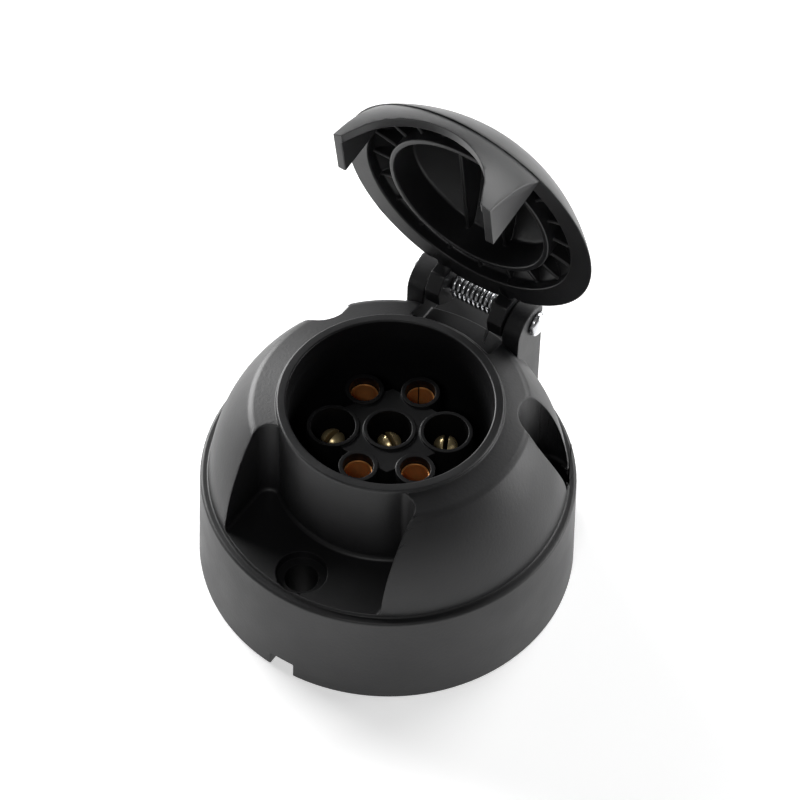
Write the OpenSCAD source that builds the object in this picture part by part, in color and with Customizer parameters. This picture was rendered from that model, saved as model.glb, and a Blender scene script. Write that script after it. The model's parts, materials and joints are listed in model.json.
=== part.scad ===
// Seven-way trailer wiring socket with a sprung flip lid, shown with the lid open.
// The rear face of the skirt lies on z = 0 and the socket's axis is +Z.
// The lid's hinge is on the +Y side, and the drain notch is on the -Y side.

/* [Body] */
// Outer radius of the skirt at its rear edge
skirt_r = 40.1; // [39.6:0.1:41]
// Outer radius of the ledge on top of the skirt
ledge_r = 39.4; // [39.2:0.1:39.8]
// Height of the ledge above the rear face
ledge_z = 24.9; // [24.6:0.1:25.2]
// Radius of the dome where it stands on the ledge
foot_r = 37.4; // [37.2:0.1:37.6]
// Radius of the ball that the dome follows
dome_r = 37.8; // [37.6:0.1:38]
// Wall thickness of the moulding
wall = 2.4; // [2:0.1:2.6]

/* [Socket mouth] */
// Height of the rim above the rear face
rim_z = 48.4; // [48.2:0.1:48.6]
// Outer radius of the raised rim
rim_r = 23.4; // [23.2:0.1:23.5]
// Radius of the plug bore
bore_r = 20.95; // [20.9:0.05:21]
// Radius of the wider lead-in at the mouth
mouth_r = 21.3; // [21.2:0.1:21.4]
// Depth of the lead-in
mouth_depth = 4.6; // [4:0.1:5]

/* [Mounting] */
// Distance between the mounting holes, which form an equal-sided triangle
hole_spacing = 56; // [55.5:0.1:56.5]
// Diameter of each mounting hole
hole_d = 6.8; // [5.5:0.1:7]
// Diameter of the seat around each mounting hole
seat_d = 10.5; // [10:0.1:10.8]
// Depth of that seat
seat_depth = 2; // [1:0.1:2.4]

/* [Contacts] */
// Distance between neighbouring contacts
pitch = 11.7; // [11.6:0.1:11.8]
// Height of the contact face above the rear face
face_z = 39.3; // [39:0.1:40]
// Diameter of the pin contacts
pin_d = 5; // [4.8:0.1:5]
// Inner diameter of the sleeve contacts
sleeve_id = 5.3; // [5.2:0.05:5.3]

/* [Lid] */
// How far the lid is opened from shut, in degrees
lid_open = 80.5; // [0:0.5:95]
// Height of the lid's rim when it is shut
lid_z = 48.1; // [48:0.1:48.4]
// Outer radius of the lid's rim
lid_r = 29.5; // [29:0.1:29.6]
// Inner radius of the lid's rim
lid_in_r = 24.05; // [24:0.05:24.2]
// Radius of the ball that the lid's dome follows
lid_ball_r = 39.3; // [39.2:0.1:39.4]

/* [Hinge] */
// Distance of the hinge axis behind the socket's axis
hinge_y = 33.8; // [33.7:0.1:34]
// Height of the hinge axis
hinge_z = 49; // [48.9:0.1:49.2]
// Diameter of the hinge pin
hinge_d = 3.2; // [3:0.1:3.2]

/* [Hidden] */
$fn = 96;

PLASTIC = [0.09, 0.09, 0.1];
INSERT = [0.13, 0.13, 0.14];
BRASS = [0.86, 0.72, 0.4];
COPPER = [0.78, 0.4, 0.16];
STEEL = [0.75, 0.76, 0.78];

hair = 0.01;                        // overlap that joins faces that only touch
far = 60;                           // longer than any part of the socket

// Dome, shoulder and pockets
ball_z = 22;                        // height of the centre of the dome's ball
floor_z = ledge_z + 0.9;            // pocket floor, level with the foot of the dome
plate_z = floor_z - 2.6;            // underside of the pocket floor
crease_r = 28.8;                    // where the dome turns into the shoulder
cone_z = 47.6;                      // height of the shoulder at the rim
shoulder_z = 46.35;                 // height of the shoulder at the crease
barrel_r = 23.5;                    // outside of the plug barrel
barrel_z = 14.5;                    // rear end of the plug barrel
hole_circle = hole_spacing / sqrt(3);
hole_angles = [270, 30, 150];
pocket_w = 38.2;                    // width of the front pocket
pocket_y = -17.9;                   // inner end of the front pocket
pocket_corner = 3;
scoop_r = 6.1;
boss_r = 6;
notch_w = 5.6;
notch_h = 3.8;
skirt_inner_r = skirt_r - wall - 0.3;

// Hinge
ear_in = 9.7;
ear_out = 13.8;
ear_y = 32.45;
ear_z = 48.4;
ear_r = 5.25;
recess_z = 41.2;
recess_r = 24.3;
block_y = 38.4;                     // rear of the block between the ears
block_z = 40.4;
knuckle_in = 5.9;
knuckle_out = 9.35;
knuckle_r = 4.8;
running = 0.05;                     // radial clearance of the hinge pin in the lid
snug = 0.02;                        // radial clearance of parts that are pressed together
knuckle_top = 52.2;                 // where the knuckles run out into the lid's dome
knuckle_low = 42.6;                 // flat underneath the knuckles
knuckle_root_y = 24.6;
knuckle_front_y = 27.4;
ear_gap_y = 26.6;                   // the lid's rim is cut away behind this, to clear the ears
ear_gap = 0.35;
head_d = 5.6;
head_h = 1.4;
tail = 1.6;                         // how far the pin's plain end stands out of its ear
washer_d = 6.4;
washer_h = 0.7;

// Lid, all in its shut position
lid_ball_z = 21.8;
lid_wall = 1.6;
lid_depth = 2.2;                    // depth of the straight wall inside the rim
rib_w = 0.8;
stay_x = 4.5;                       // the two straight ribs inside the ring
stay_z = 53;
ring_out = 18.9;
ring_in = 17.7;
rib_z = lid_z + 1.9;
rib_count = 20;
visor_r = 39;
visor_in = 36.8;
visor_x = 18;
visor_z = 31.2;
visor_back = -22;
visor_wing = 1.9;
arch_w = 14.6;
arch_h = 12.6;
arch_flare_z = 4.4;                 // below this height the arch flares out to the horns' tips
arch_foot = 16.3;

// Insert and contacts
insert_r = bore_r - 0.1;
plate_low = 20;
plate_top = 23;
flange_low = 12;
sleeve_boss_r = 4.1;
sleeve_hole_r = 3.1;
sleeve_r = 3;
sleeve_top = face_z - 2;
sleeve_low = 13;
well_r = 5.5;
well_in = 4.6;
well_floor = 24;
barrel_d = 7.3;
barrel_low = 1.5;
barrel_top = 16;
pin_sunk = 4.3;                     // from the contact face down to where a tip's dome starts
pin_dome_d = 5.4;
dome_sunk = 1;
wire_d = 3.6;
wire_depth = 9;
clamp_z = 5;
clamp_r = 1.5;
clamp_len = 2.6;
clamp_head_r = 2.4;
clamp_head_h = 1.5;
clamp_slot_w = 0.6;
fix_r = 27.2;
fix_ear_r = 3.8;
fix_ear_w = 6.8;
fix_hole_r = 1.8;
fix_screw_r = 1.3;
fix_screw_len = 8.2;
fix_head_r = 2.9;
fix_head_h = 2.1;
fix_boss_r = 3.6;
rear_boss_r = 5.2;
rear_wall = 2;
slot_w = 0.7;
pin_slot_w = 1;
pin_slot_depth = 11;
fix_angles = [90, 210, 330];
pin_angles = [30, 210];
sleeve_angles = [90, 150, 270, 330];
pin_spots = [[0, 0], for (a = pin_angles) pitch * [cos(a), sin(a)]];
sleeve_spots = [for (a = sleeve_angles) pitch * [cos(a), sin(a)]];
slit_turn = 40;                     // where each sleeve's slit faces, from its own direction
slit_w = 0.3;
slot_turns = [-25, 115, 79];        // direction of the slot in each pin's tip
clamp_turns = concat([60], pin_angles, sleeve_angles);
all_spots = concat(pin_spots, sleeve_spots);

// Puts the children on the three mounting holes
module on_holes(angles = hole_angles) {
    for (a = angles) rotate(a) translate([hole_circle, 0]) children();
}

// A plate in the YZ plane from x = low to x = high, drawn in (y, z)
module side_plate(low, high) {
    translate([low, 0, 0]) rotate([90, 0, 90]) linear_extrude(high - low) children();
}

// The same plate on both sides of the middle plane
module both_plates(low, high) {
    side_plate(low, high) children();
    side_plate(-high, -low) children();
}

// ---- Housing ----

// Outline of the front pocket, grown by a margin
module pocket_plan(margin = 0) {
    half = pocket_w / 2 + margin;
    end = pocket_y + margin;
    c = pocket_corner + margin;
    difference() {
        union() {
            translate([-half, -far]) square([2 * half, far + end - c]);
            translate([c - half, -far]) square([2 * (half - c), far + end]);
            for (s = [-1, 1]) translate([s * (half - c), end - c]) circle(c);
        }
        circle(barrel_r);
    }
}

module dome_profile(ball, foot, top, crease, cone) {
    intersection() {
        translate([0, ball_z]) circle(ball, $fn = 128);
        polygon([[0, foot], [far, foot], [far, top], [crease, top],
                 [rim_r, cone], [0, cone]]);
    }
}

module housing_shape() {
    cylinder(h = ledge_z, r1 = skirt_r, r2 = ledge_r);
    cylinder(h = floor_z, r = foot_r);
    rotate_extrude() dome_profile(dome_r, floor_z - hair, shoulder_z, crease_r, cone_z);
    cylinder(h = rim_z, r = rim_r);
    intersection() {
        union() {
            both_plates(ear_in, ear_out) {
                translate([ear_y, ear_z]) circle(ear_r);
                translate([ear_y - ear_r, ledge_z - hair])
                    square([2 * ear_r, ear_z - ledge_z]);
            }
            side_plate(-ear_in - 1, ear_in + 1) translate([ear_y - 2, ledge_z - hair])
                square([block_y - ear_y + 2, block_z - ledge_z]);
        }
        cylinder(h = far, r = ledge_r - 0.2);
    }
}

// The open space inside the dome, around the barrel and behind the pockets
module dome_cavity() {
    difference() {
        rotate_extrude() dome_profile(dome_r - wall, ledge_z - wall - hair,
            shoulder_z - wall, crease_r - wall, cone_z - wall);
        cylinder(h = far, r = barrel_r);
        translate([0, 0, plate_z]) linear_extrude(far) pocket_plan(wall);
        translate([0, 0, plate_z]) linear_extrude(far) on_holes([30, 150])
            circle(scoop_r + wall);
        translate([-ear_out, 0, recess_z - wall]) cube([2 * ear_out, far, far]);
    }
}

module housing() color(PLASTIC) {
    difference() {
        housing_shape();
        difference() {
            union() {
                translate([0, 0, -1]) cylinder(h = ledge_z - wall + 1, r = skirt_inner_r);
                dome_cavity();
            }
            translate([0, 0, barrel_z]) cylinder(h = far, r = barrel_r);
            on_holes() cylinder(h = far, r = boss_r);
            for (a = fix_angles) rotate(a) translate([fix_r, 0, barrel_z])
                cylinder(h = far, r = fix_boss_r);
        }
        translate([0, 0, floor_z]) linear_extrude(far) pocket_plan();
        translate([0, 0, floor_z]) linear_extrude(far) on_holes([30, 150]) circle(scoop_r);
        on_holes() translate([0, 0, -1]) cylinder(h = far, d = hole_d);
        on_holes() translate([0, 0, floor_z - seat_depth]) cylinder(h = seat_depth + 1, d = seat_d);
        for (a = fix_angles) rotate(a) translate([fix_r, 0, barrel_z - 1])
            cylinder(h = fix_screw_len + 0.3, r = fix_screw_r + 0.05);
        translate([0, 0, barrel_z - 1]) cylinder(h = far, r = bore_r);
        translate([0, 0, rim_z - mouth_depth]) cylinder(h = far, r = mouth_r);
        translate([-notch_w / 2, -far, -1]) cube([notch_w, far - 30, notch_h + 1]);
        difference() {
            translate([-ear_in, 15, recess_z]) cube([2 * ear_in, far, far]);
            cylinder(h = far, r = recess_r);
        }
        translate([-far / 2, hinge_y, hinge_z]) rotate([0, 90, 0])
            cylinder(h = far, d = hinge_d + 2 * snug);
    }
}

// ---- Lid ----

// Turns the shut lid about its hinge to where it rests
module opened() {
    translate([0, hinge_y, hinge_z]) rotate([-lid_open, 0, 0])
        translate([0, -hinge_y, -hinge_z]) children();
}

module lid_ball(r, from_z) {
    intersection() {
        translate([0, 0, lid_ball_z]) sphere(r, $fn = 128);
        translate([0, 0, from_z]) cylinder(h = far, r = lid_r);
    }
}

// The round cap with its rim, inner ring and stiffening ribs
module lid_cap() {
    lid_ball(lid_ball_r, lid_z);
}

module lid_hollow() {
    difference() {
        union() {
            lid_ball(lid_ball_r - lid_wall, lid_z + lid_depth);
            translate([0, 0, lid_z - 1]) cylinder(h = lid_depth + 1.8, r = lid_in_r);
        }
        translate([0, 0, lid_z]) difference() {
            cylinder(h = far, r = ring_out);
            translate([0, 0, -1]) cylinder(h = far, r = ring_in);
        }
        for (s = [-1, 1]) translate([s * stay_x - rib_w / 2, -ring_in, stay_z])
            cube([rib_w, 2 * ring_in, far]);
        translate([0, 0, rib_z]) for (i = [0 : rib_count - 1]) rotate(i * 360 / rib_count)
            translate([ring_in, -rib_w / 2, 0]) cube([lid_r - ring_in, rib_w, far]);
    }
}

// Outline of the finger arch, from the horns' tips up
module arch_plan() {
    flare_x = arch_w * sqrt(1 - pow(arch_flare_z / arch_h, 2));
    intersection() {
        scale([1, arch_h / arch_w]) circle(arch_w);
        translate([-far, arch_flare_z]) square([2 * far, far]);
    }
    polygon([[-arch_foot, -1], [-flare_x, arch_flare_z + hair],
             [flare_x, arch_flare_z + hair], [arch_foot, -1]]);
}

// The lip that hangs from the rim into the front pocket, with an arch for a finger
module visor() {
    difference() {
        intersection() {
            translate([0, 0, lid_ball_z]) sphere(visor_r, $fn = 128);
            translate([-visor_x, -far, visor_z]) cube([2 * visor_x, far + visor_back, far]);
        }
        intersection() {
            translate([0, 0, lid_ball_z]) sphere(visor_in, $fn = 128);
            translate([visor_wing - visor_x, -far, 0])
                cube([2 * (visor_x - visor_wing), far, far]);
        }
        translate([0, 0, visor_z]) rotate([90, 0, 0]) linear_extrude(far) arch_plan();
        translate([0, 0, lid_z + 1.6]) cylinder(h = far, r = far);
        translate([0, 0, lid_z - far]) cylinder(h = far + lid_depth, r = lid_in_r);
    }
}

module knuckle_plan() {
    translate([hinge_y, hinge_z]) circle(knuckle_r);
    polygon([[knuckle_root_y, lid_z], [knuckle_front_y, lid_z],
             [knuckle_front_y, knuckle_low + 2.9], [knuckle_front_y + 3.1, knuckle_low],
             [hinge_y + 0.4, knuckle_low], [hinge_y + 3.8, knuckle_low + 3.4],
             [hinge_y, hinge_z + knuckle_r], [knuckle_root_y + 0.4, knuckle_top]]);
}

module lid() color(PLASTIC) opened() {
    difference() {
        union() {
            lid_cap();
            visor();
            both_plates(knuckle_in, knuckle_out) knuckle_plan();
        }
        lid_hollow();
        for (s = [-1, 1]) translate([s * (ear_in + ear_out) / 2, ear_gap_y + far / 2, lid_z])
            cube([ear_out - ear_in + 2 * ear_gap, far, far], center = true);
        translate([-far / 2, hinge_y, hinge_z]) rotate([0, 90, 0])
            cylinder(h = far, r = hinge_d / 2 + running);
    }
}

// ---- Hinge hardware ----

module hinge_pin() color(STEEL) translate([0, hinge_y, hinge_z]) rotate([0, 90, 0]) {
    translate([0, 0, -ear_out - tail]) cylinder(h = 2 * ear_out + tail + 0.1, d = hinge_d);
    translate([0, 0, ear_out + 0.1]) cylinder(h = head_h, d = head_d);
}

module pin_washer() color(STEEL) translate([-ear_out - washer_h - 0.2, hinge_y, hinge_z])
    rotate([0, 90, 0]) difference() {
        cylinder(h = washer_h, d = washer_d);
        translate([0, 0, -1]) cylinder(h = washer_h + 2, d = hinge_d + snug);
    }

// Torsion spring: a helix about the pin with a leg at each end
wire_r = 0.36;
coil_r = 2.55;
coil_turns = 9.25;
coil_half = 5.2;
turn_steps = 18;
wire_sides = 8;
function coil_point(t) = let(a = 360 * coil_turns * t + 100)
    [coil_half * (2 * t - 1), hinge_y + coil_r * cos(a), hinge_z + coil_r * sin(a)];
coil_path = [for (i = [0 : turn_steps * coil_turns]) coil_point(i / (turn_steps * coil_turns))];
function unit(v) = v / norm(v);
function ring(p, dir, side) = let(u = unit(cross(dir, side)), w = unit(cross(u, dir)))
    [for (k = [0 : wire_sides - 1]) let(a = 360 * k / wire_sides)
        p + wire_r * (u * cos(a) + w * sin(a))];

// Sweeps a round wire along a list of points
module wire(path) {
    n = len(path);
    rings = [for (i = [0 : n - 1])
        ring(path[i], unit(path[min(i + 1, n - 1)] - path[max(i - 1, 0)]), [1, 0, 0.02])];
    m = wire_sides;
    points = [for (r = rings) each r];
    sides = [for (i = [0 : n - 2], k = [0 : m - 1]) let(a = i * m + k, b = i * m + (k + 1) % m)
        each [[a, b, b + m], [a, b + m, a + m]]];
    ends = [[for (k = [m - 1 : -1 : 0]) k], [for (k = [0 : m - 1]) (n - 1) * m + k]];
    polyhedron(points, concat(sides, ends));
}

module lid_spring() color(STEEL) {
    first = coil_path[0];
    last = coil_path[len(coil_path) - 1];
    lid_leg = [first + [0.35, 0.1, 3.1], first + [0.25, -0.1, 1.2]];
    body_leg = [last + [0, -0.4, -1.2], last + [0, -3.7, -5.7]];
    wire(concat(lid_leg, coil_path, body_leg));
}

// ---- Contact insert ----

module at_spots(spots) {
    for (p = spots) translate(p) children();
}

// Outline of the flange and its three screw ears
module flange_plan() {
    circle(rim_r);
    for (a = fix_angles) rotate(a) {
        translate([fix_r, 0]) circle(fix_ear_r);
        translate([0, -fix_ear_w / 2]) square([fix_r, fix_ear_w]);
    }
}

module contact_insert() color(INSERT) difference() {
    union() {
        translate([0, 0, flange_low + 1]) cylinder(h = plate_top - flange_low - 1, r = insert_r);
        translate([0, 0, flange_low]) linear_extrude(barrel_z - flange_low) flange_plan();
        translate([0, 0, plate_low]) {
            at_spots(sleeve_spots) cylinder(h = face_z - plate_low, r = sleeve_boss_r);
            at_spots(pin_spots) cylinder(h = face_z - plate_low, r = well_r);
            rotate(30) cylinder(h = face_z - plate_low - 0.5, r = pitch - 0.6, $fn = 6);
        }
    }
    difference() {
        translate([0, 0, flange_low - 1]) cylinder(h = plate_low - flange_low + 1, r = insert_r - rear_wall);
        at_spots(all_spots) cylinder(h = far, r = rear_boss_r);
    }
    at_spots(all_spots) translate([0, 0, flange_low - 1])
        cylinder(h = barrel_top - flange_low + 1, d = barrel_d + 0.1);
    at_spots(sleeve_spots) cylinder(h = far, r = sleeve_hole_r);
    at_spots(pin_spots) cylinder(h = far, d = pin_d + 0.1);
    at_spots(pin_spots) translate([0, 0, well_floor]) cylinder(h = far, r = well_in);
    for (a = fix_angles) rotate(a) translate([fix_r, 0]) cylinder(h = far, r = fix_hole_r);
}

module insert_screw(n) color(STEEL) rotate(fix_angles[n - 1]) translate([fix_r, 0, 0]) {
    translate([0, 0, flange_low - 0.1]) cylinder(h = fix_screw_len, r = fix_screw_r);
    difference() {
        translate([0, 0, flange_low - fix_head_h]) cylinder(h = fix_head_h, r = fix_head_r);
        for (a = [0, 90]) rotate(a) translate([-2, -slot_w / 2, flange_low - fix_head_h - 0.9])
            cube([4, slot_w, 2]);
    }
}

// ---- Contacts ----

// Rear barrel that takes the wire, with a cross hole for its clamp screw
module terminal_barrel(turn) {
    difference() {
        translate([0, 0, barrel_low]) cylinder(h = barrel_top - barrel_low, d = barrel_d);
        translate([0, 0, barrel_low - 1]) cylinder(h = wire_depth + 1, d = wire_d);
        rotate(turn) translate([0, 0, clamp_z]) rotate([0, 90, 0])
            cylinder(h = barrel_d, r = clamp_r + snug);
    }
}

// Half outline of a pin above its barrel, with a domed tip
module pin_profile() {
    straight = face_z - pin_sunk - barrel_top;
    intersection() {
        union() {
            square([pin_d / 2, straight]);
            translate([0, straight - dome_sunk]) circle(d = pin_dome_d);
        }
        square([pin_d / 2, far]);
    }
}

module pin_contact(n) color(BRASS) translate(pin_spots[n - 1]) {
    terminal_barrel(clamp_turns[n - 1]);
    difference() {
        translate([0, 0, barrel_top - hair]) rotate_extrude() pin_profile();
        rotate(slot_turns[n - 1]) translate([-pin_d, -pin_slot_w / 2, face_z - pin_slot_depth])
            cube([2 * pin_d, pin_slot_w, far]);
    }
}

module sleeve_terminal(n) color(BRASS) translate(sleeve_spots[n - 1]) {
    difference() {
        terminal_barrel(clamp_turns[n + 2]);
        translate([0, 0, sleeve_low]) cylinder(h = far, r = sleeve_r + snug);
    }
}

module contact_sleeve(n) color(COPPER) translate(sleeve_spots[n - 1]) difference() {
    translate([0, 0, sleeve_low]) cylinder(h = sleeve_top - sleeve_low, r = sleeve_r);
    translate([0, 0, sleeve_low - 1]) cylinder(h = far, d = sleeve_id);
    rotate(sleeve_angles[n - 1] + slit_turn) translate([0, -slit_w / 2, sleeve_low - 1])
        cube([far, slit_w, far]);
}

module clamp_screw(n) color(STEEL) translate(all_spots[n - 1]) rotate(clamp_turns[n - 1])
    translate([0, 0, clamp_z]) rotate([0, 90, 0]) {
        translate([0, 0, wire_d / 2]) cylinder(h = clamp_len, r = clamp_r);
        difference() {
            translate([0, 0, wire_d / 2 + clamp_len]) cylinder(h = clamp_head_h, r = clamp_head_r);
            translate([-clamp_head_r, -clamp_slot_w / 2, wire_d / 2 + clamp_len + clamp_head_h / 2])
                cube([2 * clamp_head_r, clamp_slot_w, clamp_head_h]);
        }
    }

housing();
contact_insert();
lid();
hinge_pin();
pin_washer();
lid_spring();
for (i = [1:3]) insert_screw(i);
for (i = [1:3]) pin_contact(i);
for (i = [1:4]) contact_sleeve(i);
for (i = [1:4]) sleeve_terminal(i);
for (i = [1:7]) clamp_screw(i);
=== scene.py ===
"""Finished pieces of a seven-way trailer wiring socket with a sprung flip lid.

The pieces are shaped in millimetres and written in metres. The rear face of the skirt
lies on the floor, the socket's axis is +Z and the lid's hinge is on the +Y side.
"""
import json
import math

import bmesh
import bpy
from mathutils import Matrix, Vector


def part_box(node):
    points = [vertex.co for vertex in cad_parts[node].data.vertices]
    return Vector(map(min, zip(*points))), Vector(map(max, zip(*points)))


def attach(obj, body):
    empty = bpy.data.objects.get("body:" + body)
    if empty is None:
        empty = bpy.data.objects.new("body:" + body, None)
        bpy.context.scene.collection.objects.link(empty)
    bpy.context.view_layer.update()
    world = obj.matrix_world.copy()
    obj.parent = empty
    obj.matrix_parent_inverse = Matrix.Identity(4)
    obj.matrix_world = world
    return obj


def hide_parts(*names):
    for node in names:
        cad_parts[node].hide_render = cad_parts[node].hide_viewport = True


bl_info = {
    "name": "Trailer Socket",
    "version": (1, 0, 0),
    "blender": (4, 5, 0),
    "location": "View3D > Sidebar > Trailer Socket",
    "description": "Builds the finished pieces of a seven-way trailer wiring socket",
    "category": "Object",
}

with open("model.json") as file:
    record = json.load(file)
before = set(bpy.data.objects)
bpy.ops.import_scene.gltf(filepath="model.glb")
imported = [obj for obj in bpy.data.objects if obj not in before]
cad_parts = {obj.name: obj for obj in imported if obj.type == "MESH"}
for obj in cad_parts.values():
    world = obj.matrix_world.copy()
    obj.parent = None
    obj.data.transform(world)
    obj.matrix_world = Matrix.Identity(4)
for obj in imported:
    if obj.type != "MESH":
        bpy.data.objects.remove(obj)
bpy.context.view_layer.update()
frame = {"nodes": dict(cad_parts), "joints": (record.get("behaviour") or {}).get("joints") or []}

MM = 0.001
FULL_TURN = math.tau
HINGE_JOINT = frame["joints"][0]
HINGE = Vector(HINGE_JOINT["pos_m"]) / MM
HOUSING_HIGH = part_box("housing")[1]
PIN_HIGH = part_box("pin_contact_1")[1]
SLEEVE_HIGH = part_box("contact_sleeve_1")[1]

# Body, in millimetres
LEDGE_R = 39.4
LEDGE_Z = 24.9
FLOOR_Z = 25.8              # floor of the pockets
FOOT_R = 37.6               # where the dome stands on the ledge
BALL_R = 37.8               # ball that the dome follows
BALL_Z = 22.0
CREASE_R = 28.8             # where the dome turns into the shoulder
CONE_Z = 47.6               # height of the shoulder at the rim
RIM_R = 23.4
MOUTH_R = 21.3              # lead-in of the plug bore
MOUTH_DEPTH = 4.6
BORE_R = 20.95
BARREL_R = 23.5
FLARE = 1.3                 # fillet between the barrel and the pocket floor
BARREL_Z = 14.5             # rear end of the plug barrel
SKIRT_WALL = 2.7
WALL = 2.4
HOLE_CIRCLE = 56 / math.sqrt(3)
HOLE_R = 3.4
SEAT_R = 5.25
SEAT_DEPTH = 2.0
SCOOP_R = 6.1
BOSS_R = 6.0
FIX_CIRCLE = 27.2           # screws that hold the insert
BOLT_ANGLES = (270, 30, 150)
SCOOP_ANGLES = (30, 150)
FIX_ANGLES = (90, 210, 330)
FIX_BOSS_R = 3.6
POCKET_HALF = 19.1
POCKET_Y = -17.9
NOTCH_W = 5.6
NOTCH_H = 3.8
EAR_IN, EAR_OUT = 9.7, 13.8
EAR_Y, EAR_Z, EAR_R = 32.45, 48.4, 5.25
RECESS_Z = 41.2
RECESS_R = 24.3
BLOCK_Y = 38.4              # rear of the block between the ears
BLOCK_Z = 40.4

# Lid in its shut position
LID_Z = 48.1
LID_R = 29.2
LID_IN_R = 24.05
LID_BALL_R = 39.3
LID_BALL_Z = 21.8
LID_WALL = 1.6
RING_OUT, RING_IN = 18.9, 17.7
RIB_Z = 50.0
RIB_W = 0.8
STAY_X = 4.5                # the two straight ribs inside the ring
STAY_Z = 53.0
VISOR_R, VISOR_IN = 39.0, 36.8
VISOR_X = 18.0
VISOR_Z = 31.2
VISOR_BACK = -22.0
VISOR_WING = 1.9
ARCH_W, ARCH_H = 14.6, 12.6
ARCH_FLARE_Z = 4.4          # below this height the arch flares out to the horns' tips
ARCH_FOOT = 16.3
KNUCKLE_IN, KNUCKLE_OUT, KNUCKLE_R = 5.9, 9.35, 4.8

# Spring, as it lies with the lid open
WIRE_R = 0.36
COIL_R = 2.55
COIL_HALF = 5.17            # half the coil's length
COIL_TURNS = 9.22
COIL_START = 100            # degrees

# Contacts
PIN_R = 2.5
SLEEVE_IN, SLEEVE_OUT = 2.65, 3.0
CONTACT_LOW = 13.0          # rear end of the sleeves
PITCH = 11.7
FACE_Z = 39.3
SLEEVE_BOSS_R = 4.1
SLEEVE_HOLE_R = 3.1
WELL_OUT, WELL_IN = 5.5, 4.6
WELL_FLOOR = 24.0
PIN_ANGLES = (None, 30, 210)      # None is the middle
SLEEVE_ANGLES = (90, 150, 270, 330)
SLOT_TURNS = (-25, 115, 79)

STEPS = 128                 # faces round the big turned shapes
SMALL_STEPS = 48            # faces round the small ones
ARC_STEPS = 4               # faces across a rounded corner
REACH = 70.0                # longer than any piece
TRIES = 5                   # times that a cut piece may be made
BOX_SLACK = 0.6             # how far a whole piece's box may be from its CAD node's
VOLUME_SLACK = 0.1          # and its volume, as a part of the node's


# ---- Shapes ----

def new_object(name, bm):
    """Turns a bmesh into an object in the scene."""
    mesh = bpy.data.meshes.new(name)
    bm.to_mesh(mesh)
    bm.free()
    obj = bpy.data.objects.new(name, mesh)
    bpy.context.scene.collection.objects.link(obj)
    return obj


def arc(centre, radius, start, end, steps):
    """Corners along an arc, in degrees, with no rounding of their own."""
    out = []
    for i in range(steps + 1):
        a = math.radians(start + (end - start) * i / steps)
        out.append((centre[0] + radius * math.cos(a), centre[1] + radius * math.sin(a), 0))
    return out


def draw_outline(bm, corners, upright):
    """A face from (u, v, rounding) corners, standing in XZ if upright and lying in XY if not."""
    verts = [bm.verts.new((u, 0, v) if upright else (u, v, 0)) for u, v, _ in corners]
    bm.faces.new(verts)
    for radius in sorted({c[2] for c in corners if c[2] > 0}):
        bmesh.ops.bevel(
            bm, geom=[v for v, c in zip(verts, corners) if c[2] == radius], offset=radius,
            offset_type="OFFSET", segments=ARC_STEPS, profile=0.5, affect="VERTICES", material=-1)


def turned(name, corners, steps=STEPS, place=None):
    """A solid turned about Z from its half outline, which may end on the axis."""
    bm = bmesh.new()
    draw_outline(bm, corners, True)
    bmesh.ops.delete(bm, geom=bm.faces[:], context="FACES_ONLY")
    on_axis = [e for e in bm.edges if all(abs(v.co.x) < 1e-6 for v in e.verts)]
    bmesh.ops.delete(bm, geom=on_axis, context="EDGES")
    bmesh.ops.spin(
        bm, geom=bm.verts[:] + bm.edges[:], cent=(0, 0, 0), axis=(0, 0, 1), dvec=(0, 0, 0),
        angle=FULL_TURN, steps=steps, use_merge=True)
    bmesh.ops.remove_doubles(bm, verts=bm.verts[:], dist=1e-4)
    bmesh.ops.recalc_face_normals(bm, faces=bm.faces[:])
    if place:
        bm.transform(place)
    return new_object(name, bm)


def slab(name, corners, low, high, place=None):
    """An outline in XY, raised from low to high."""
    bm = bmesh.new()
    draw_outline(bm, corners, False)
    top = bmesh.ops.extrude_face_region(bm, geom=bm.faces[:])["geom"]
    moved = [v for v in top if isinstance(v, bmesh.types.BMVert)]
    bmesh.ops.translate(bm, verts=moved, vec=(0, 0, high - low))
    bmesh.ops.translate(bm, verts=bm.verts[:], vec=(0, 0, low))
    bmesh.ops.recalc_face_normals(bm, faces=bm.faces[:])
    if place:
        bm.transform(place)
    return new_object(name, bm)


def block(name, low, high):
    """A box from its lowest corner to its highest."""
    low, high = Vector(low), Vector(high)
    bm = bmesh.new()
    size = Matrix.Diagonal((*(high - low), 1))
    bmesh.ops.create_cube(bm, size=1, matrix=Matrix.Translation((low + high) / 2) @ size)
    return new_object(name, bm)


def rod(name, radius, low, high, at=(0, 0), steps=SMALL_STEPS, place=None):
    """An upright round bar."""
    bm = bmesh.new()
    middle = Matrix.Translation((at[0], at[1], (low + high) / 2))
    bmesh.ops.create_cone(
        bm, cap_ends=True, segments=steps, radius1=radius, radius2=radius,
        depth=high - low, matrix=middle)
    if place:
        bm.transform(place)
    return new_object(name, bm)


def settle(obj):
    """Applies an object's modifiers to its mesh."""
    graph = bpy.context.evaluated_depsgraph_get()
    old = obj.data
    obj.data = bpy.data.meshes.new_from_object(obj.evaluated_get(graph))
    obj.modifiers.clear()
    bpy.data.meshes.remove(old)


def combine(target, operation, others):
    """Joins other solids to target, cuts them from it or keeps the overlap, and uses them up."""
    for other in others:
        step = target.modifiers.new(other.name, "BOOLEAN")
        step.operation = operation
        step.solver = "EXACT"
        step.object = other
    settle(target)
    for other in others:
        mesh = other.data
        bpy.data.objects.remove(other)
        bpy.data.meshes.remove(mesh)
    return target


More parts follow.
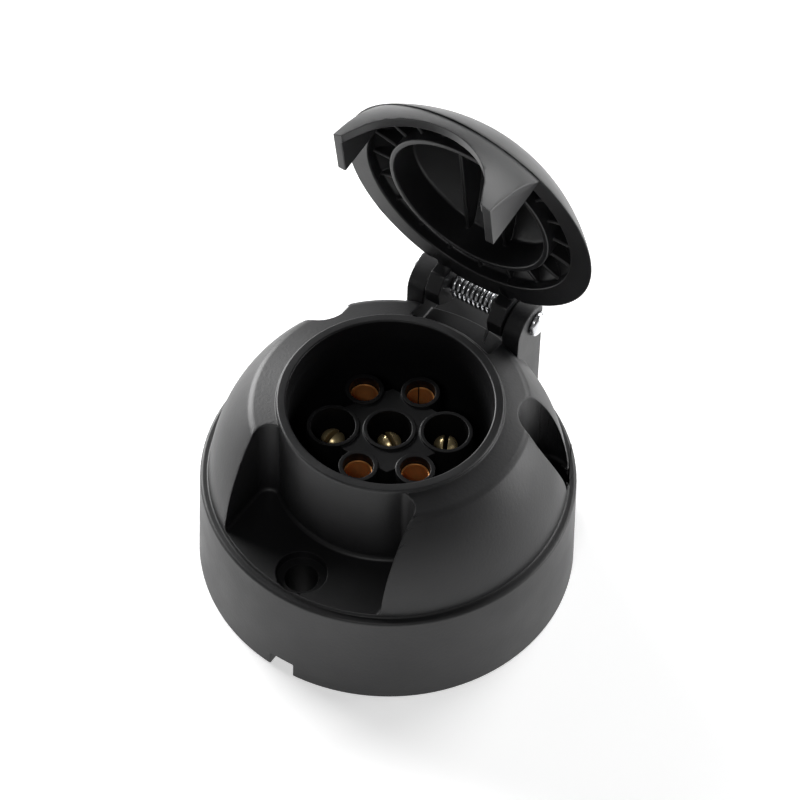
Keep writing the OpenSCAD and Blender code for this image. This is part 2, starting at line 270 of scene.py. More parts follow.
def tidy(obj, gap=0.06):
    """Closes the tiny gaps and flat splits that cutting leaves."""
    bm = bmesh.new()
    bm.from_mesh(obj.data)
    bmesh.ops.remove_doubles(bm, verts=bm.verts[:], dist=gap)
    bmesh.ops.dissolve_degenerate(bm, edges=bm.edges[:], dist=gap / 2)
    bm.to_mesh(obj.data)
    bm.free()
    return obj


def soften(obj, width, segments=2, angle=33):
    """Rounds every edge that turns by more than an angle."""
    round_off = obj.modifiers.new("Rounding", "BEVEL")
    round_off.width = width
    round_off.segments = segments
    round_off.limit_method = "ANGLE"
    round_off.angle_limit = math.radians(angle)
    round_off.use_clamp_overlap = False
    round_off.miter_outer = "MITER_ARC"
    settle(obj)
    return obj


def measure(mesh):
    """A mesh's volume and the lowest and highest corners of its box."""
    bm = bmesh.new()
    bm.from_mesh(mesh)
    volume = abs(bm.calc_volume())
    bm.free()
    spots = [v.co for v in mesh.vertices] or [Vector()]
    low, high = (Vector(pick(p[k] for p in spots) for k in range(3)) for pick in (min, max))
    return volume, low, high


def made_whole(make, node):
    """Makes a piece again when solid cutting, which isn't steady, loses part of it."""
    want = measure(frame["nodes"][node].data)[0] / MM ** 3
    low, high = (Vector(corner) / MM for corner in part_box(node))
    for attempt in range(TRIES):
        obj = make()
        volume, obj_low, obj_high = measure(obj.data)
        drift = max(abs(v) for v in (*(obj_low - low), *(obj_high - high)))
        if drift < BOX_SLACK and abs(volume / want - 1) < VOLUME_SLACK:
            return obj
        print(f"{node}: try {attempt + 1} was not whole, box off {drift:.2f} mm")
        bpy.data.objects.remove(obj)
    raise RuntimeError(f"{node} was not made whole in {TRIES} tries")


def around_z(angle, radius=0.0):
    """Places a shape at a radius and turns it with its angle, in degrees."""
    return Matrix.Rotation(math.radians(angle), 4, "Z") @ Matrix.Translation((radius, 0, 0))


def place_on(circle, angle):
    """Centre of a feature on a circle about the socket's axis."""
    return around_z(angle) @ Vector((circle, 0, 0))


def along_x(centre):
    """Turns an upright shape to lie along X, through a centre."""
    return Matrix.Translation(centre) @ Matrix.Rotation(math.pi / 2, 4, "Y")


def finish(obj, body, nodes, material, seam_angle=38):
    """Brings a shape to metres, gives it its finish and sets it on its body."""
    obj.data.transform(Matrix.Scale(MM, 4))
    obj.data.shade_smooth()
    obj.data.set_sharp_from_angle(angle=math.radians(seam_angle))
    weighted = obj.modifiers.new("Even shading", "WEIGHTED_NORMAL")
    weighted.keep_sharp = True
    obj.data.materials.clear()
    obj.data.materials.append(material)
    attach(obj, body)
    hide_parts(*nodes)
    return obj


# ---- Finishes ----

def link(tree, out, into):
    """Joins an output to an input."""
    tree.links.new(out, into)


def group_tree(name, inputs, outputs):
    """An empty shader group with number inputs and the outputs asked for."""
    tree = bpy.data.node_groups.new(name, "ShaderNodeTree")
    for label, value in inputs:
        sock = tree.interface.new_socket(label, in_out="INPUT", socket_type="NodeSocketFloat")
        sock.default_value = value
    for label, kind in outputs:
        tree.interface.new_socket(label, in_out="OUTPUT", socket_type=kind)
    return tree, tree.nodes.new("NodeGroupInput"), tree.nodes.new("NodeGroupOutput")


def grain_group():
    """Fine moulded grain: a height for bumps and a slow mask for cloudiness."""
    if "Moulded grain" in bpy.data.node_groups:
        return bpy.data.node_groups["Moulded grain"]
    tree, given, out = group_tree(
        "Moulded grain", [("Grain scale", 1400.0), ("Cloud scale", 90.0), ("Depth", 1.0)],
        [("Height", "NodeSocketFloat"), ("Cloud", "NodeSocketFloat")])
    where = tree.nodes.new("ShaderNodeTexCoord")
    fine = tree.nodes.new("ShaderNodeTexNoise")
    fine.inputs["Detail"].default_value = 3.0
    slow = tree.nodes.new("ShaderNodeTexNoise")
    slow.inputs["Detail"].default_value = 4.0
    scale = tree.nodes.new("ShaderNodeMath")
    scale.operation = "MULTIPLY"
    for noise in (fine, slow):
        link(tree, where.outputs["Object"], noise.inputs["Vector"])
    link(tree, given.outputs["Grain scale"], fine.inputs["Scale"])
    link(tree, given.outputs["Cloud scale"], slow.inputs["Scale"])
    link(tree, fine.outputs["Fac"], scale.inputs[0])
    link(tree, given.outputs["Depth"], scale.inputs[1])
    link(tree, scale.outputs["Value"], out.inputs["Height"])
    link(tree, slow.outputs["Fac"], out.inputs["Cloud"])
    return tree


def blank_material(name):
    """A new material and its Principled shader."""
    material = bpy.data.materials.new(name)
    material.use_nodes = True
    return material, material.node_tree, material.node_tree.nodes["Principled BSDF"]


def cloudy(tree, mask, into, low, high):
    """Drives a socket from low to high with a mask."""
    ramp = tree.nodes.new("ShaderNodeMapRange")
    ramp.inputs["From Min"].default_value = 0.3
    ramp.inputs["From Max"].default_value = 0.7
    ramp.inputs["To Min"].default_value = low
    ramp.inputs["To Max"].default_value = high
    link(tree, mask, ramp.inputs["Value"])
    link(tree, ramp.outputs["Result"], into)


def two_tones(tree, mask, into, dark, light):
    """Mixes two colours over the surface with a mask."""
    mix = tree.nodes.new("ShaderNodeMix")
    mix.data_type = "RGBA"
    mix.inputs["A"].default_value = (*dark, 1)
    mix.inputs["B"].default_value = (*light, 1)
    link(tree, mask, mix.inputs["Factor"])
    link(tree, mix.outputs["Result"], into)


def bump(tree, height, shader, strength, distance):
    """Roughens a shader's normal with a height."""
    node = tree.nodes.new("ShaderNodeBump")
    node.inputs["Strength"].default_value = strength
    node.inputs["Distance"].default_value = distance
    link(tree, height, node.inputs["Height"])
    link(tree, node.outputs["Normal"], shader.inputs["Normal"])


def plastic(name, colour, roughness, grain_scale, strength):
    """Black moulded plastic with a fine grain and a faint bloom."""
    if name in bpy.data.materials:
        return bpy.data.materials[name]
    material, tree, shader = blank_material(name)
    grain = tree.nodes.new("ShaderNodeGroup")
    grain.node_tree = grain_group()
    grain.inputs["Grain scale"].default_value = grain_scale
    two_tones(tree, grain.outputs["Cloud"], shader.inputs["Base Color"],
              [c * 0.85 for c in colour], [c * 1.25 for c in colour])
    cloudy(tree, grain.outputs["Cloud"], shader.inputs["Roughness"],
           roughness - 0.04, roughness + 0.05)
    shader.inputs["IOR"].default_value = 1.5
    bump(tree, grain.outputs["Height"], shader, strength, 0.00012)
    return material


def metal(name, colour, roughness, dull=0.8, metallic=1.0):
    """Plain metal with a fine mottle in its colour and its polish."""
    if name in bpy.data.materials:
        return bpy.data.materials[name]
    material, tree, shader = blank_material(name)
    grain = tree.nodes.new("ShaderNodeGroup")
    grain.node_tree = grain_group()
    grain.inputs["Grain scale"].default_value = 2600.0
    grain.inputs["Cloud scale"].default_value = 400.0
    shader.inputs["Metallic"].default_value = metallic
    two_tones(tree, grain.outputs["Cloud"], shader.inputs["Base Color"],
              [c * dull for c in colour], colour)
    cloudy(tree, grain.outputs["Cloud"], shader.inputs["Roughness"],
           roughness - 0.05, roughness + 0.08)
    bump(tree, grain.outputs["Height"], shader, 0.06, 0.00005)
    return material


def housing_plastic():
    return plastic("Housing plastic", tuple(colours().housing), 0.46, 1500.0, 0.22)


def lid_plastic():
    return plastic("Lid plastic", tuple(colours().lid), 0.4, 1700.0, 0.12)


def insert_plastic():
    return plastic("Insert plastic", tuple(colours().insert), 0.38, 2000.0, 0.1)


def brass():
    return metal("Contact brass", tuple(colours().brass), 0.3, 0.85, 0.8)


def copper():
    return metal("Contact copper", tuple(colours().copper), 0.45, 0.7, 0.6)


def steel():
    return metal("Plated steel", tuple(colours().steel), 0.22)


def shade_painted_steel():
    """Unpolished steel of the rivet's shank, with painted shade: its colour is cut to about an
    eighth to stand for the spring's shadow.
    """
    return metal("Dull steel", [c * 0.12 for c in colours().steel], 0.5)


def colours():
    """The finishes' colours, as set in the panel."""
    return bpy.context.scene.socket_finishes


def sizes():
    """The sizes set in the panel."""
    return bpy.context.scene.socket_sizes


# ---- Housing ----

def pocket_cutter(margin, low):
    """The open front pocket, which stops at the plug barrel."""
    half = POCKET_HALF + margin
    end = POCKET_Y + margin
    corner = 3.0 + margin
    pocket = slab("pocket", [(-half, -REACH, 0), (half, -REACH, 0), (half, end, corner),
                             (-half, end, corner)], low, REACH)
    return pocket


def hinge_ears():
    """Two upright ears that carry the hinge pin, and the block between them."""
    top = arc((EAR_Y, EAR_Z), EAR_R, 0, 180, 24)
    corners = [(EAR_Y - EAR_R, LEDGE_Z - 2, 0), (EAR_Y + EAR_R, LEDGE_Z - 2, 0)] + top
    upright = Matrix.Rotation(math.pi / 2, 4, "Z") @ Matrix.Rotation(math.pi / 2, 4, "X")
    ears = slab("ear", corners, EAR_IN, EAR_OUT, upright)
    other = slab("ear", corners, -EAR_OUT, -EAR_IN, upright)
    limit = rod("limit", LEDGE_R - 0.2, 0, REACH, steps=STEPS)
    between = slab("block", [(36, LEDGE_Z - 1.4, 0), (BLOCK_Y, LEDGE_Z - 1.4, 0),
                             (BLOCK_Y, BLOCK_Z, 0), (31.2, BLOCK_Z, 0), (34, 34, 0)],
                   -EAR_IN - 1, EAR_IN + 1, upright)
    combine(ears, "UNION", [other, between])
    return combine(ears, "INTERSECT", [limit])


def dome_corners(inset):
    """The dome's half outline from its foot to its crease, moved in by an inset."""
    radius = BALL_R - inset
    low = math.degrees(math.asin((FLOOR_Z - BALL_Z) / radius))
    high = math.degrees(math.acos((CREASE_R - inset * 0.7) / radius))
    return arc((0, BALL_Z), radius, low, high, 26)


def housing_shell():
    """The skirt, the dome, the shoulder and the plug barrel, turned in one."""
    skirt = HOUSING_HIGH.x / MM
    rim = sizes().rim_height / MM
    inner = skirt - SKIRT_WALL
    outside = [(skirt, 0, 0.45), (LEDGE_R, LEDGE_Z, 0.7), (FOOT_R, LEDGE_Z, 0.45)]
    dome = dome_corners(0)
    dome[-1] = (*dome[-1][:2], 1.0)
    outside += dome + [(RIM_R, CONE_Z, 0), (RIM_R, rim, 0.45)]
    bore = [(MOUTH_R, rim, 0.42), (MOUTH_R, rim - MOUTH_DEPTH, 0),
            (BORE_R, rim - MOUTH_DEPTH - 0.45, 0), (BORE_R, BARREL_Z, 0),
            (BARREL_R, BARREL_Z, 0)]
    under = [(BARREL_R, CONE_Z - WALL, 1.0)] + dome_corners(WALL)[::-1]
    under += [(35.2, LEDGE_Z - WALL, 0.5), (inner, LEDGE_Z - WALL, 1.0), (inner, 0, 0.45)]
    return turned("housing_shell", outside + bore + under)


def inner_works():
    """Walls and bosses inside the dome, kept between the barrel and the dome."""
    works = pocket_cutter(WALL, FLOOR_Z - 2.6)
    others = []
    for angle in SCOOP_ANGLES:
        centre = place_on(HOLE_CIRCLE, angle)
        others.append(rod("scoop wall", SCOOP_R + WALL, FLOOR_Z - 2.61, REACH, centre[:2]))
    for angle in FIX_ANGLES:
        centre = place_on(FIX_CIRCLE, angle)
        others.append(rod("screw boss", FIX_BOSS_R, BARREL_Z, REACH, centre[:2]))
    others.append(block("recess wall", (-EAR_OUT, 20, RECESS_Z - WALL), (EAR_OUT, 50, REACH)))
    combine(works, "UNION", others)
    top = arc((0, BALL_Z), BALL_R - 0.9, 4, 39, 20)
    core = turned("core", [(22.2, 10, 0), (38.4, 10, 0), (38.4, 24.3, 0), (36.9, 24.3, 0)]
                  + top + [(22.2, CONE_Z - 0.7, 0)], steps=96)
    return combine(works, "INTERSECT", [core])


def recess_cutter():
    """The space between the ears, which stops short of the rim."""
    cut = block("recess", (-EAR_IN, 15, RECESS_Z), (EAR_IN, REACH, REACH))
    keep = rod("keep", RECESS_R, 0, REACH + 1, steps=STEPS)
    combine(cut, "DIFFERENCE", [keep])
    return soften(cut, 0.6, 3)


def pocket_opening():
    """Cuts the front pocket up to the barrel, with a fillet round the barrel's foot."""
    pocket = soften(pocket_cutter(0, FLOOR_Z), 0.9, 3)
    flare = [(0, 20, 0), (BARREL_R + FLARE, 20, 0)]
    flare += arc((BARREL_R + FLARE, FLOOR_Z + FLARE - 0.05), FLARE, 270, 180, 6)
    flare += [(BARREL_R, REACH + 1, 0), (0, REACH + 1, 0)]
    return combine(pocket, "DIFFERENCE", [turned("barrel", flare)])


def housing_shape():
    """The moulded housing with its pocket, scoops, holes, hinge recess and notch."""
    body = housing_shell()
    joins = [inner_works(), hinge_ears()]
    for angle in BOLT_ANGLES:
        centre = place_on(HOLE_CIRCLE, angle)
        joins.append(rod("boss", BOSS_R, 0, LEDGE_Z - 1, centre[:2]))
    combine(body, "UNION", joins)
    cuts = [pocket_opening(), recess_cutter()]
    for angle in SCOOP_ANGLES:
        centre = place_on(HOLE_CIRCLE, angle)
        cuts.append(soften(rod("scoop", SCOOP_R, FLOOR_Z, REACH, centre[:2], 64), 0.8, 3))
    for angle in BOLT_ANGLES:
        centre = place_on(HOLE_CIRCLE, angle)
        cuts.append(rod("hole", HOLE_R, -1, REACH, centre[:2]))
        cuts.append(rod("seat", SEAT_R, FLOOR_Z - SEAT_DEPTH, REACH - 5, centre[:2]))
    for angle in FIX_ANGLES:
        centre = place_on(FIX_CIRCLE, angle)
        cuts.append(rod("screw hole", 1.35, BARREL_Z - 1, BARREL_Z + 7.5, centre[:2], 24))
    cuts.append(block("notch", (-NOTCH_W / 2, -REACH, -1), (NOTCH_W / 2, -30, NOTCH_H)))
    cuts.append(rod("pin hole", 1.62, -30, 30, steps=32, place=along_x(HINGE.copy())))
    combine(body, "DIFFERENCE", cuts)
    tidy(body, 0.14)
    return soften(body, sizes().edge_rounding / MM, angle=42)


def build_housing():
    """The housing, whole and finished."""
    body = made_whole(housing_shape, "housing")
    return finish(body, "socket", ["housing"], housing_plastic())


# ---- Lid ----

def lid_opened():
    """From the shut position to rest, about the hinge."""
    angle = math.radians(HINGE_JOINT["range_deg"][1])
    there = Matrix.Translation(HINGE)
    return there @ Matrix.Rotation(-angle, 4, "X") @ there.inverted()


def ball_height(radius, at):
    """Height of a lid ball's surface at a distance from the axis."""
    return LID_BALL_Z + math.sqrt(radius ** 2 - at ** 2)


def ball_arc(radius, start, end, steps):
    """Corners on a lid ball between two distances from the axis."""
    first = math.degrees(math.acos(start / radius))
    last = math.degrees(math.acos(end / radius))
    return arc((0, LID_BALL_Z), radius, first, last, steps)


def lid_cap():
    """The domed cap with its flat rim and inner ring."""
    hollow = LID_BALL_R - LID_WALL
    corners = ball_arc(LID_BALL_R, 0, LID_R - 0.1, 30)
    corners += [(LID_R, LID_Z, 0.6), (LID_IN_R, LID_Z, 0.35), (LID_IN_R, LID_Z + 2.4, 0)]
    corners += ball_arc(hollow, 23.4, RING_OUT + 0.5, 6)
    corners += [(RING_OUT, ball_height(hollow, RING_OUT), 0.3), (RING_OUT, LID_Z, 0.3),
                (RING_IN, LID_Z, 0.3), (RING_IN, ball_height(hollow, RING_IN), 0.5)]
    corners += ball_arc(hollow, RING_IN - 0.8, 0, 16)
    return turned("flip_lid", corners)


def lid_ribs():
    """Thin radial ribs outside the ring and two straight ones inside it."""
    bm = bmesh.new()
    length = LID_IN_R + 1.5 - RING_IN - 0.5
    size = Matrix.Diagonal((length, RIB_W, 6.0, 1))
    for i in range(sizes().rib_count):
        spot = around_z(i * 360 / sizes().rib_count, RING_IN + 0.5 + length / 2)
        bmesh.ops.create_cube(bm, size=1, matrix=spot @ Matrix.Translation((0, 0, RIB_Z + 3)) @ size)
    for side in (-1, 1):
        size = Matrix.Diagonal((RIB_W, 2 * RING_IN + 1, 16, 1))
        spot = Matrix.Translation((side * STAY_X, 0, STAY_Z + 8))
        bmesh.ops.create_cube(bm, size=1, matrix=spot @ size)
    bmesh.ops.bevel(bm, geom=bm.edges[:], offset=0.2, offset_type="OFFSET", segments=2,
                    profile=0.5, affect="EDGES", material=-1)
    ribs = new_object("ribs", bm)
    limit = turned("limit", [(0, 40, 0), (LID_R - 2, 40, 0)]
                   + ball_arc(LID_BALL_R - 0.8, LID_R - 2, 0, 20))
    return combine(ribs, "INTERSECT", [limit])


def ball(name, radius, steps=STEPS):
    """A ball on the lid's centre."""
    bm = bmesh.new()
    bmesh.ops.create_uvsphere(bm, u_segments=steps, v_segments=steps // 2, radius=radius,
                              matrix=Matrix.Translation((0, 0, LID_BALL_Z)))
    return new_object(name, bm)


def visor():
    """The lip that hangs from the rim, with an arch for a finger."""
    lip = block("visor", (-VISOR_X, -REACH, VISOR_Z), (VISOR_X, VISOR_BACK, LID_Z + 1.6))
    combine(lip, "INTERSECT", [ball("outside", VISOR_R)])
    hollow = ball("inside", VISOR_IN)
    side = VISOR_X - VISOR_WING
    combine(hollow, "INTERSECT", [block("side", (-side, -REACH, 0), (side, REACH, REACH))])
    arch = [(-ARCH_FOOT, -1, 0), (ARCH_FOOT, -1, 0)]
    start = math.asin(ARCH_FLARE_Z / ARCH_H)
    for i in range(41):
        a = start + (math.pi - 2 * start) * i / 40
        arch.append((ARCH_W * math.cos(a), ARCH_H * math.sin(a), 0))
    upright = Matrix.Translation((0, 0, VISOR_Z)) @ Matrix.Rotation(math.pi / 2, 4, "X")
    bore = rod("bore", LID_IN_R, 0, LID_Z + 2.2, steps=STEPS)
    combine(lip, "DIFFERENCE", [hollow, slab("arch", arch, 0, REACH, upright), bore])
    return lip


def knuckles():
    """Two hinge knuckles under the back of the lid."""
    top = arc((HINGE.y, HINGE.z), KNUCKLE_R, -35, 95, 20)
    corners = [(24.6, LID_Z, 0), (27.4, LID_Z, 0), (27.4, 45.5, 0.3), (30.5, 42.6, 0.3),
               (34.2, 42.6, 0.3)] + top + [(25, 52.2, 0)]
    upright = Matrix.Rotation(math.pi / 2, 4, "Z") @ Matrix.Rotation(math.pi / 2, 4, "X")
    first = slab("knuckle", corners, KNUCKLE_IN, KNUCKLE_OUT, upright)
    second = slab("knuckle", corners, -KNUCKLE_OUT, -KNUCKLE_IN, upright)
    return [first, second]


def lid_shape():
    """The flip lid, made shut and then swung open about the hinge."""
    lid = lid_cap()
    combine(lid, "UNION", [lid_ribs(), visor()] + knuckles())
    cuts = [rod("pin hole", 1.65, -30, 30, steps=32, place=along_x(HINGE.copy()))]
    middle = (EAR_IN + EAR_OUT) / 2
    half = (EAR_OUT - EAR_IN + 0.7) / 2
    for side in (-1, 1):
        cuts.append(block("ear gap", (side * middle - half, 26.6, LID_Z - 30),
                          (side * middle + half, REACH, LID_Z + 30)))
    combine(lid, "DIFFERENCE", cuts)
    tidy(lid)
    soften(lid, sizes().edge_rounding / MM)
    lid.data.transform(lid_opened())
    return lid


def build_lid():
    """The lid, whole and finished."""
    lid = made_whole(lid_shape, "lid")
    return finish(lid, "lid", ["lid"], lid_plastic())


# ---- Contact insert ----

def spot(angle):
    """Centre of a contact, in the middle if it has no angle."""
    if angle is None:
        return Vector((0, 0, 0))
    return place_on(PITCH, angle)


def insert_shape():
    """The insert with its bosses, wells and flange."""
    body = turned("insert_body", [(0, 20, 0), (18.85, 20, 0), (18.85, 12, 0.3), (RIM_R, 12, 0.4),
                                  (RIM_R, BARREL_Z, 0.1), (20.85, BARREL_Z, 0.1),
                                  (20.85, 23, 0.5), (0, 23, 0)])
    joins = []
    for angle in FIX_ANGLES:
        ear = [(19, -3.4, 0), (FIX_CIRCLE, -3.8, 0)] + arc((FIX_CIRCLE, 0), 3.8, -88, 88, 16)
        ear += [(FIX_CIRCLE, 3.8, 0), (19, 3.4, 0)]
        joins.append(slab("ear", ear, 12.01, BARREL_Z - 0.01, around_z(angle)))
    for angle in SLEEVE_ANGLES:
        joins.append(rod("boss", SLEEVE_BOSS_R, 21, FACE_Z, spot(angle)[:2]))
    for angle in PIN_ANGLES:
        joins.append(rod("well", WELL_OUT, 21, FACE_Z, spot(angle)[:2]))
    for angle in PIN_ANGLES + SLEEVE_ANGLES:
        joins.append(rod("rear boss", 5.2, 12, 21, spot(angle)[:2]))
    joins.append(rod("web", PITCH - 0.6, 21, FACE_Z - 0.5, steps=6,
                     place=Matrix.Rotation(math.radians(30), 4, "Z")))
    combine(body, "UNION", joins)
    cuts = []
    for angle in SLEEVE_ANGLES:
        cuts.append(rod("hole", SLEEVE_HOLE_R, 0, REACH, spot(angle)[:2]))
    for angle in PIN_ANGLES:
        cuts.append(rod("hole", 2.55, 0, 60, spot(angle)[:2]))
        cuts.append(rod("well", WELL_IN, WELL_FLOOR, REACH, spot(angle)[:2]))
    for angle in PIN_ANGLES + SLEEVE_ANGLES:
        cuts.append(rod("terminal", 3.7, 0, 16, spot(angle)[:2]))
    for angle in FIX_ANGLES:
        centre = place_on(FIX_CIRCLE, angle)
        cuts.append(rod("screw", 1.8, 0, 30, centre[:2], 24))
    combine(body, "DIFFERENCE", cuts)
    tidy(body, 0.04)
    return soften(body, 0.22)


def build_insert():
    """The insert, whole and finished."""
    body = made_whole(insert_shape, "contact_insert")
    return finish(body, "socket", ["contact_insert"], insert_plastic())


# ---- Contacts ----

def build_pin(number, angle, slot_turn):
    """A split pin with a domed tip and its terminal."""
    top = PIN_HIGH.z / MM
    place = Matrix.Translation(spot(angle))
    dome = arc((0, top - 2.7), 2.7, 90, 22, 10)
    pin = turned(f"slotted_pin_{number}", dome + [(PIN_R, top - 1.75, 0), (PIN_R, 16, 0.05),
                 (3.65, 16, 0.4), (3.65, 1.5, 0.4), (1.8, 1.5, 0.2), (1.8, 10.5, 0), (0, 10.5, 0)],
                 SMALL_STEPS, place)
    slot = block("slot", (-6, -0.5, top - 8), (6, 0.5, top + 5))
    slot.data.transform(place @ Matrix.Rotation(math.radians(slot_turn), 4, "Z"))
    combine(pin, "DIFFERENCE", [slot])
    soften(pin, 0.12)
    return finish(pin, "socket", [f"pin_contact_{number}"], brass())


def build_sleeve(number, angle):
    """A rolled sleeve with its slit."""
    top = SLEEVE_HIGH.z / MM
    place = Matrix.Translation(spot(angle))
    sleeve = turned(f"rolled_sleeve_{number}",
                    [(SLEEVE_IN, CONTACT_LOW, 0.05), (SLEEVE_IN, top, 0.16),
                     (SLEEVE_OUT, top, 0.12), (SLEEVE_OUT, CONTACT_LOW, 0.05)],
                    SMALL_STEPS, place)
    slit = block("slit", (0, -0.15, 12), (6, 0.15, 50))
    slit.data.transform(place @ Matrix.Rotation(math.radians(angle + 40), 4, "Z"))
    combine(sleeve, "DIFFERENCE", [slit])
    return finish(sleeve, "socket", [f"contact_sleeve_{number}"], copper())


# ---- Hinge ----

def build_hinge_pin():
    """The rivet: a bright head and a shank with painted shade."""
    head = [(0, EAR_OUT + 1.7, 0), (1.6, EAR_OUT + 1.6, 0.4), (2.75, EAR_OUT + 1.0, 0.5),
            (2.8, EAR_OUT + 0.1, 0.2), (1.58, EAR_OUT + 0.1, 0), (1.58, -EAR_OUT - 1.6, 0.3),
            (0, -EAR_OUT - 1.6, 0)]
    pin = turned("hinge_rivet", head, SMALL_STEPS, along_x(HINGE.copy()))
    finish(pin, "socket", ["hinge_pin"], steel())
    # The shank's faces take the steel whose colour is darkened as painted shade from the spring
    pin.data.materials.append(shade_painted_steel())
    for face in pin.data.polygons:
        if face.center.x < EAR_OUT * MM:
            face.material_index = 1
    return pin


def build_washer():
    """The washer that keeps the rivet."""
    low = -EAR_OUT - 0.9
    washer = turned("rivet_washer", [(1.62, low, 0.1), (3.2, low, 0.15), (3.2, low + 0.7, 0.15),
                    (1.62, low + 0.7, 0.1)], SMALL_STEPS, along_x(HINGE.copy()))
    return finish(washer, "socket", ["pin_washer"], steel())


def build_spring():
    """A torsion spring round the rivet, with a leg at each end."""
    steps = int(COIL_TURNS * 24)
    coil = []
    for i in range(steps + 1):
        a = math.radians(360 * COIL_TURNS * i / steps + COIL_START)
        coil.append(HINGE + Vector((COIL_HALF * (2 * i / steps - 1), COIL_R * math.cos(a),
                                    COIL_R * math.sin(a))))
    lid_leg = [coil[0] + Vector((0.35, 0.1, 3.1)), coil[0] + Vector((0.25, -0.1, 1.2))]
    body_leg = [coil[-1] + Vector((0, -0.4, -1.2)), coil[-1] + Vector((0, -3.7, -5.7))]
    points = lid_leg + coil + body_leg
    curve = bpy.data.curves.new("spring", "CURVE")
    curve.dimensions = "3D"
    curve.bevel_depth = WIRE_R
    curve.bevel_resolution = 3
    curve.use_fill_caps = True
    path = curve.splines.new("POLY")
    path.points.add(len(points) - 1)
    for point, at in zip(path.points, points):
        point.co = (*at, 1)
    drawn = bpy.data.objects.new("spring", curve)
    bpy.context.scene.collection.objects.link(drawn)
    graph = bpy.context.evaluated_depsgraph_get()
    mesh = bpy.data.meshes.new_from_object(drawn.evaluated_get(graph))
    bpy.data.objects.remove(drawn)
    spring = bpy.data.objects.new("torsion_spring", mesh)
    bpy.context.scene.collection.objects.link(spring)
    return finish(spring, "socket", ["lid_spring"], steel())


# ---- Stage ----

CAMERA_TURN, CAMERA_RISE, CAMERA_ROLL = 32.16, 51.85, 1.51      # degrees
CAMERA_AWAY = 0.75
CAMERA_LENS = 162.2
CAMERA_SHIFT = (0.0023, 0.0117)     # how far the aim is moved right and up
MIDDLE = Vector((0, 0, 0.03))


def lamp(name, place, aim, size, power):
    """A round soft lamp that points at a place."""
    data = bpy.data.lights.new(name, "AREA")
    data.shape = "DISK"
    data.size = size
    data.energy = power
    obj = bpy.data.objects.new(name, data)
    obj.location = place
    obj.rotation_euler = (Vector(aim) - Vector(place)).to_track_quat("-Z", "Y").to_euler()
    bpy.context.scene.collection.objects.link(obj)


def build_world():
    """A white studio that is bright near the floor and dim overhead."""
    world = bpy.data.worlds.new("Studio")
    world.use_nodes = True
    tree = world.node_tree
    sky = tree.nodes["Background"]
    where = tree.nodes.new("ShaderNodeTexCoord")
    split = tree.nodes.new("ShaderNodeSeparateXYZ")
    fade = tree.nodes.new("ShaderNodeMapRange")
    fade.inputs["From Min"].default_value = 0.0
    fade.inputs["From Max"].default_value = 0.42
    fade.inputs["To Min"].default_value = 0.34
    fade.inputs["To Max"].default_value = 0.04
    link(tree, where.outputs["Generated"], split.inputs["Vector"])
    link(tree, split.outputs["Z"], fade.inputs["Value"])
    link(tree, fade.outputs["Result"], sky.inputs["Strength"])
    backdrop = tree.nodes.new("ShaderNodeBackground")
    seen = tree.nodes.new("ShaderNodeLightPath")
    mix = tree.nodes.new("ShaderNodeMixShader")
    for shader in (sky, backdrop):
        shader.inputs["Color"].default_value = (1, 1, 1, 1)
    link(tree, seen.outputs["Is Camera Ray"], mix.inputs["Fac"])
    link(tree, sky.outputs["Background"], mix.inputs[1])
    link(tree, backdrop.outputs["Background"], mix.inputs[2])
    link(tree, mix.outputs["Shader"], tree.nodes["World Output"].inputs["Surface"])
    bpy.context.scene.world = world


def build_stage():
    """The floor, the lamps, the world and the camera."""
    bm = bmesh.new()
    bmesh.ops.create_grid(bm, x_segments=2, y_segments=2, size=4)
    floor = new_object("studio_floor", bm)
    material, _, shader = blank_material("Studio floor")
    shader.inputs["Base Color"].default_value = (0.9, 0.9, 0.9, 1)
    shader.inputs["Roughness"].default_value = 0.9
    shader.inputs["Emission Color"].default_value = (1, 1, 1, 1)
    shader.inputs["Emission Strength"].default_value = 0.5
    floor.data.materials.append(material)

    build_world()
    lamp("Left softbox", (-0.75, 0.2, 0.35), (0, 0, 0.03), 0.55, 10.5)
    lamp("Right softbox", (0.6, 0.5, 0.16), (0, 0, 0.03), 0.4, 3)
    lamp("Back softbox", (0.15, 0.8, 0.55), (0, 0, 0.06), 0.6, 5)
    lamp("Front fill", (0.2, -0.55, 0.75), (0, 0, 0.03), 0.13, 1.1)
    bpy.context.scene.view_settings.view_transform = "Standard"

    az, el, roll = (math.radians(a) for a in (CAMERA_TURN, CAMERA_RISE, CAMERA_ROLL))
    back = Vector((math.sin(az) * math.cos(el), -math.cos(az) * math.cos(el), math.sin(el)))
    right = Vector((math.cos(az), math.sin(az), 0))
    up = Vector((-math.sin(az) * math.sin(el), math.cos(az) * math.sin(el), math.cos(el)))
    right, up = (right * math.cos(roll) + up * math.sin(roll),
                 up * math.cos(roll) - right * math.sin(roll))
    data = bpy.data.cameras.new("Camera")
    data.lens = CAMERA_LENS
    data.sensor_width = 36
    data.clip_start, data.clip_end = 0.05, 20
    camera = bpy.data.objects.new("Camera", data)
    place = MIDDLE + back * CAMERA_AWAY
    aim = MIDDLE + right * CAMERA_SHIFT[0] + up * CAMERA_SHIFT[1]
    look = (place - aim).normalized()
    side = up.cross(look).normalized()
    camera.matrix_world = Matrix((side, look.cross(side), look)).transposed().to_4x4()
    camera.location = place
    bpy.context.scene.collection.objects.link(camera)
    bpy.context.scene.camera = camera


# ---- Panel, operators and settings ----

def colour_setting(label, about, default):
    """A colour for the panel."""
    return bpy.props.FloatVectorProperty(
        name=label, description=about, default=default, subtype="COLOR", min=0, max=1, size=3)


def length_setting(label, about, default):
    """A length for the panel."""
    return bpy.props.FloatProperty(name=label, description=about, default=default, unit="LENGTH")


